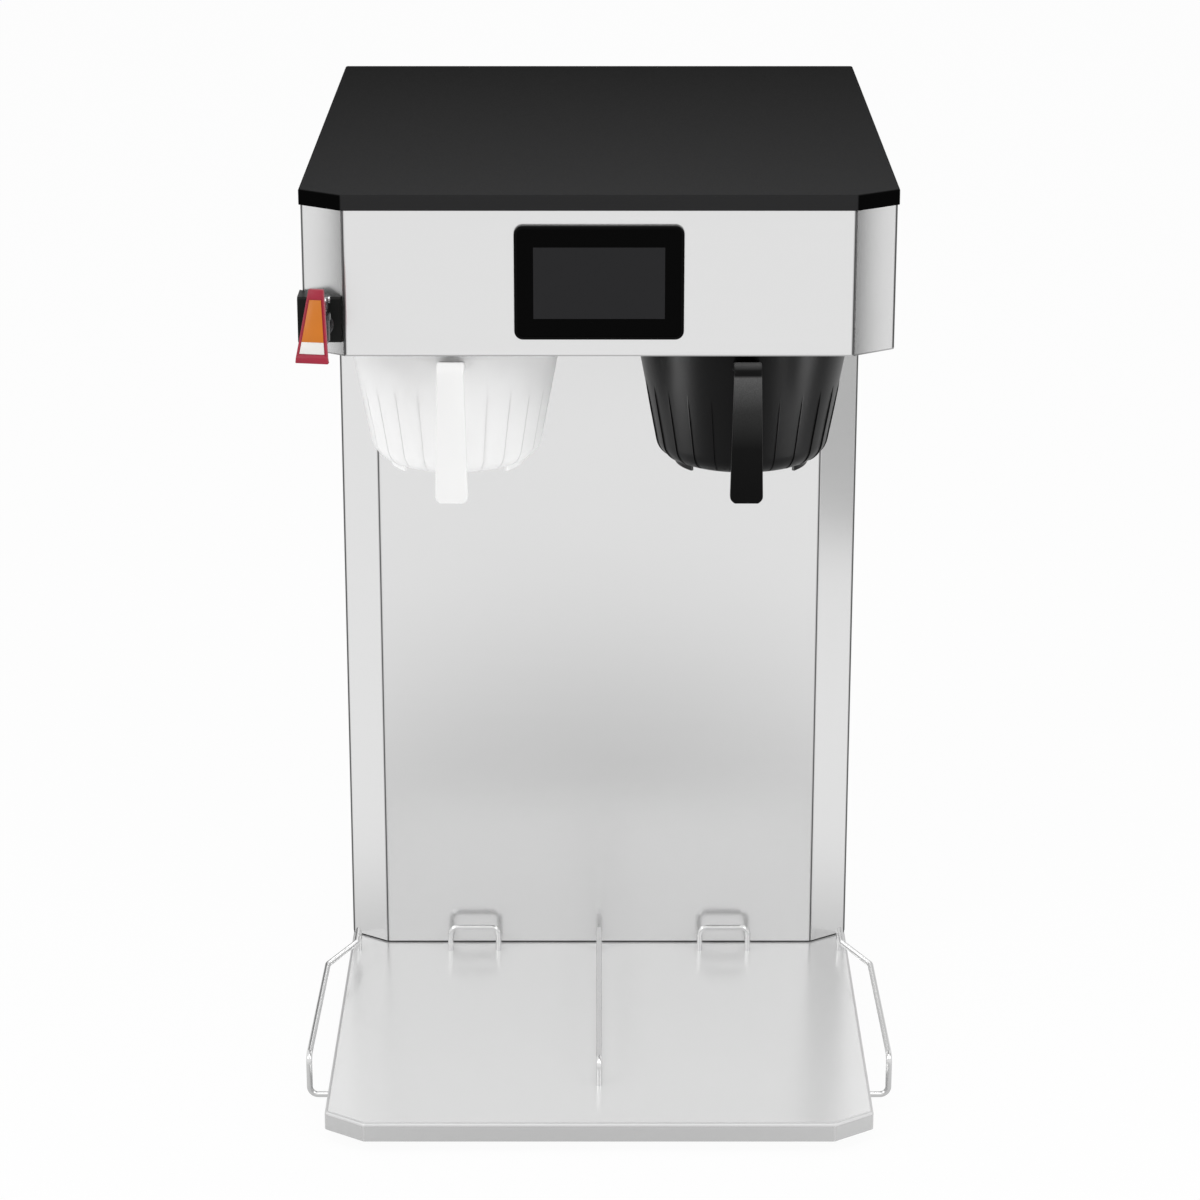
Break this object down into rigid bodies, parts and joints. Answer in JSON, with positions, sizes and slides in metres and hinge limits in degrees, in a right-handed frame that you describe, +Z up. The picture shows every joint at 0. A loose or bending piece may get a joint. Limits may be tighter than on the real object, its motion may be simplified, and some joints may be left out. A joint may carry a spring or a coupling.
{
  "type": "coffee and tea brewer",
  "caption": "Commercial coffee and tea brewer: stainless hood with touchscreen over a server bay, slide-in brew funnels, lever faucet for hot water and a base tray with wire guides.",
  "frame": {"origin": "on the counter, under the middle of the whole box", "axes": "+Z up, -Y to the front where the screen and the funnel handles face, +X to the right seen from the front"},
  "size_m": [0.553, 0.705, 0.8995],
  "materials": {
    "stainless": "fine brushed stainless sheet",
    "wire_steel": "bright drawn wire",
    "black_lid": "black semi-gloss, fine texture",
    "galvanised": "plain sheet",
    "rubber_black": "matt rubber",
    "seal_black": "matt sealing strip",
    "screw_steel": "plated",
    "bezel_black": "gloss black",
    "screen_glass": "black-backed glass",
    "screen_dark": "dark display module",
    "tank_steel": "plain stainless",
    "silicone": "translucent silicone",
    "element_sheath": "oxidised sheath",
    "brass": "turned brass",
    "valve_plastic": "moulded, off-white",
    "trim_black": "moulded, black",
    "cast_aluminium": "extruded, plain",
    "board_green": "circuit board",
    "lever_red": "moulded, crimson",
    "field_orange": "bare orange field",
    "field_white": "bare off-white field",
    "funnel_white": "milky, translucent",
    "funnel_black": "moulded, semi-gloss black"
  },
  "bodies": {
    "housing": {"base_channels": "galvanised", "base_tray": "stainless", "board_standoffs": "brass", "cable_gland": "trim_black", "centre_divider": "wire_steel", "control_board": "board_green", "cover_screws": "screw_steel", "display_bezel": "bezel_black", "faucet_block": "trim_black", "faucet_body": "screw_steel", "faucet_bonnet": "screw_steel", "faucet_nut": "brass", "faucet_spring": "screw_steel", "faucet_tube": "silicone", "faucet_wedge": "trim_black", "heating_elements": "element_sheath", "hood_floor": "stainless", "hood_shell": "stainless", "inlet_fitting": "brass", "inlet_tube": "silicone", "inlet_valve": "valve_plastic", "lcd_module": "screen_dark", "left_brew_tube": "silicone", "left_brew_valve": "valve_plastic", "left_funnel_rails": "galvanised", "left_server_stop": "wire_steel", "left_side_guide": "wire_steel", "left_spray_head": "tank_steel", "level_probe": "tank_steel", "pivot_pin": "screw_steel", "power_supply": "cast_aluminium", "rear_cover": "stainless", "right_brew_tube": "silicone", "right_brew_valve": "valve_plastic", "right_funnel_rails": "galvanised", "right_server_stop": "wire_steel", "right_side_guide": "wire_steel", "right_spray_head": "tank_steel", "rubber_feet": "rubber_black", "switch_housing": "trim_black", "tank_cover": "tank_steel", "tank_gasket": "silicone", "tank_stand": "galvanised", "temperature_probe": "tank_steel", "terminal_block": "trim_black", "top_lid": "black_lid", "touch_glass": "screen_glass", "trunk_gasket": "seal_black", "trunk_shell": "stainless", "water_tank": "tank_steel"},
    "left_funnel": {"left_funnel_bowl": "funnel_white", "left_funnel_handle": "funnel_white"},
    "right_funnel": {"right_funnel_bowl": "funnel_black", "right_funnel_handle": "funnel_black"},
    "lever": {"faucet_lever": "lever_red", "lever_band": "field_orange", "lever_tag": "field_white"},
    "stem": {"faucet_stem": "screw_steel", "seat_cup": "silicone"},
    "rocker": {"power_rocker": "trim_black"}
  },
  "joints": [
    {"name": "left_funnel_slide", "type": "slide", "parent": "housing", "child": "left_funnel", "axis": [0, -1, 0], "range_m": [0, 0.26]},
    {"name": "right_funnel_slide", "type": "slide", "parent": "housing", "child": "right_funnel", "axis": [0, -1, 0], "range_m": [0, 0.26]},
    {"name": "lever_tilt", "type": "hinge", "parent": "housing", "child": "lever", "pos_m": [-0.2375, -0.29947, 0.812], "axis": [-1, 0, 0], "range_deg": [0, 29]},
    {"name": "stem_lift", "type": "slide", "parent": "housing", "child": "stem", "axis": [0, 0, 1], "range_m": [0, 0.00479], "stiffness_N_per_m": 300, "springref_m": -0.004, "deforming": ["faucet_spring"]},
    {"name": "rocker_tip", "type": "hinge", "parent": "housing", "child": "rocker", "pos_m": [-0.12, 0.33323, 0.08], "axis": [-1, 0, 0], "range_deg": [0, 16]}
  ],
  "couplings": [
    {"joint": "lever_tilt", "follows": "stem_lift", "rad_per_m": 102.12}
  ]
}
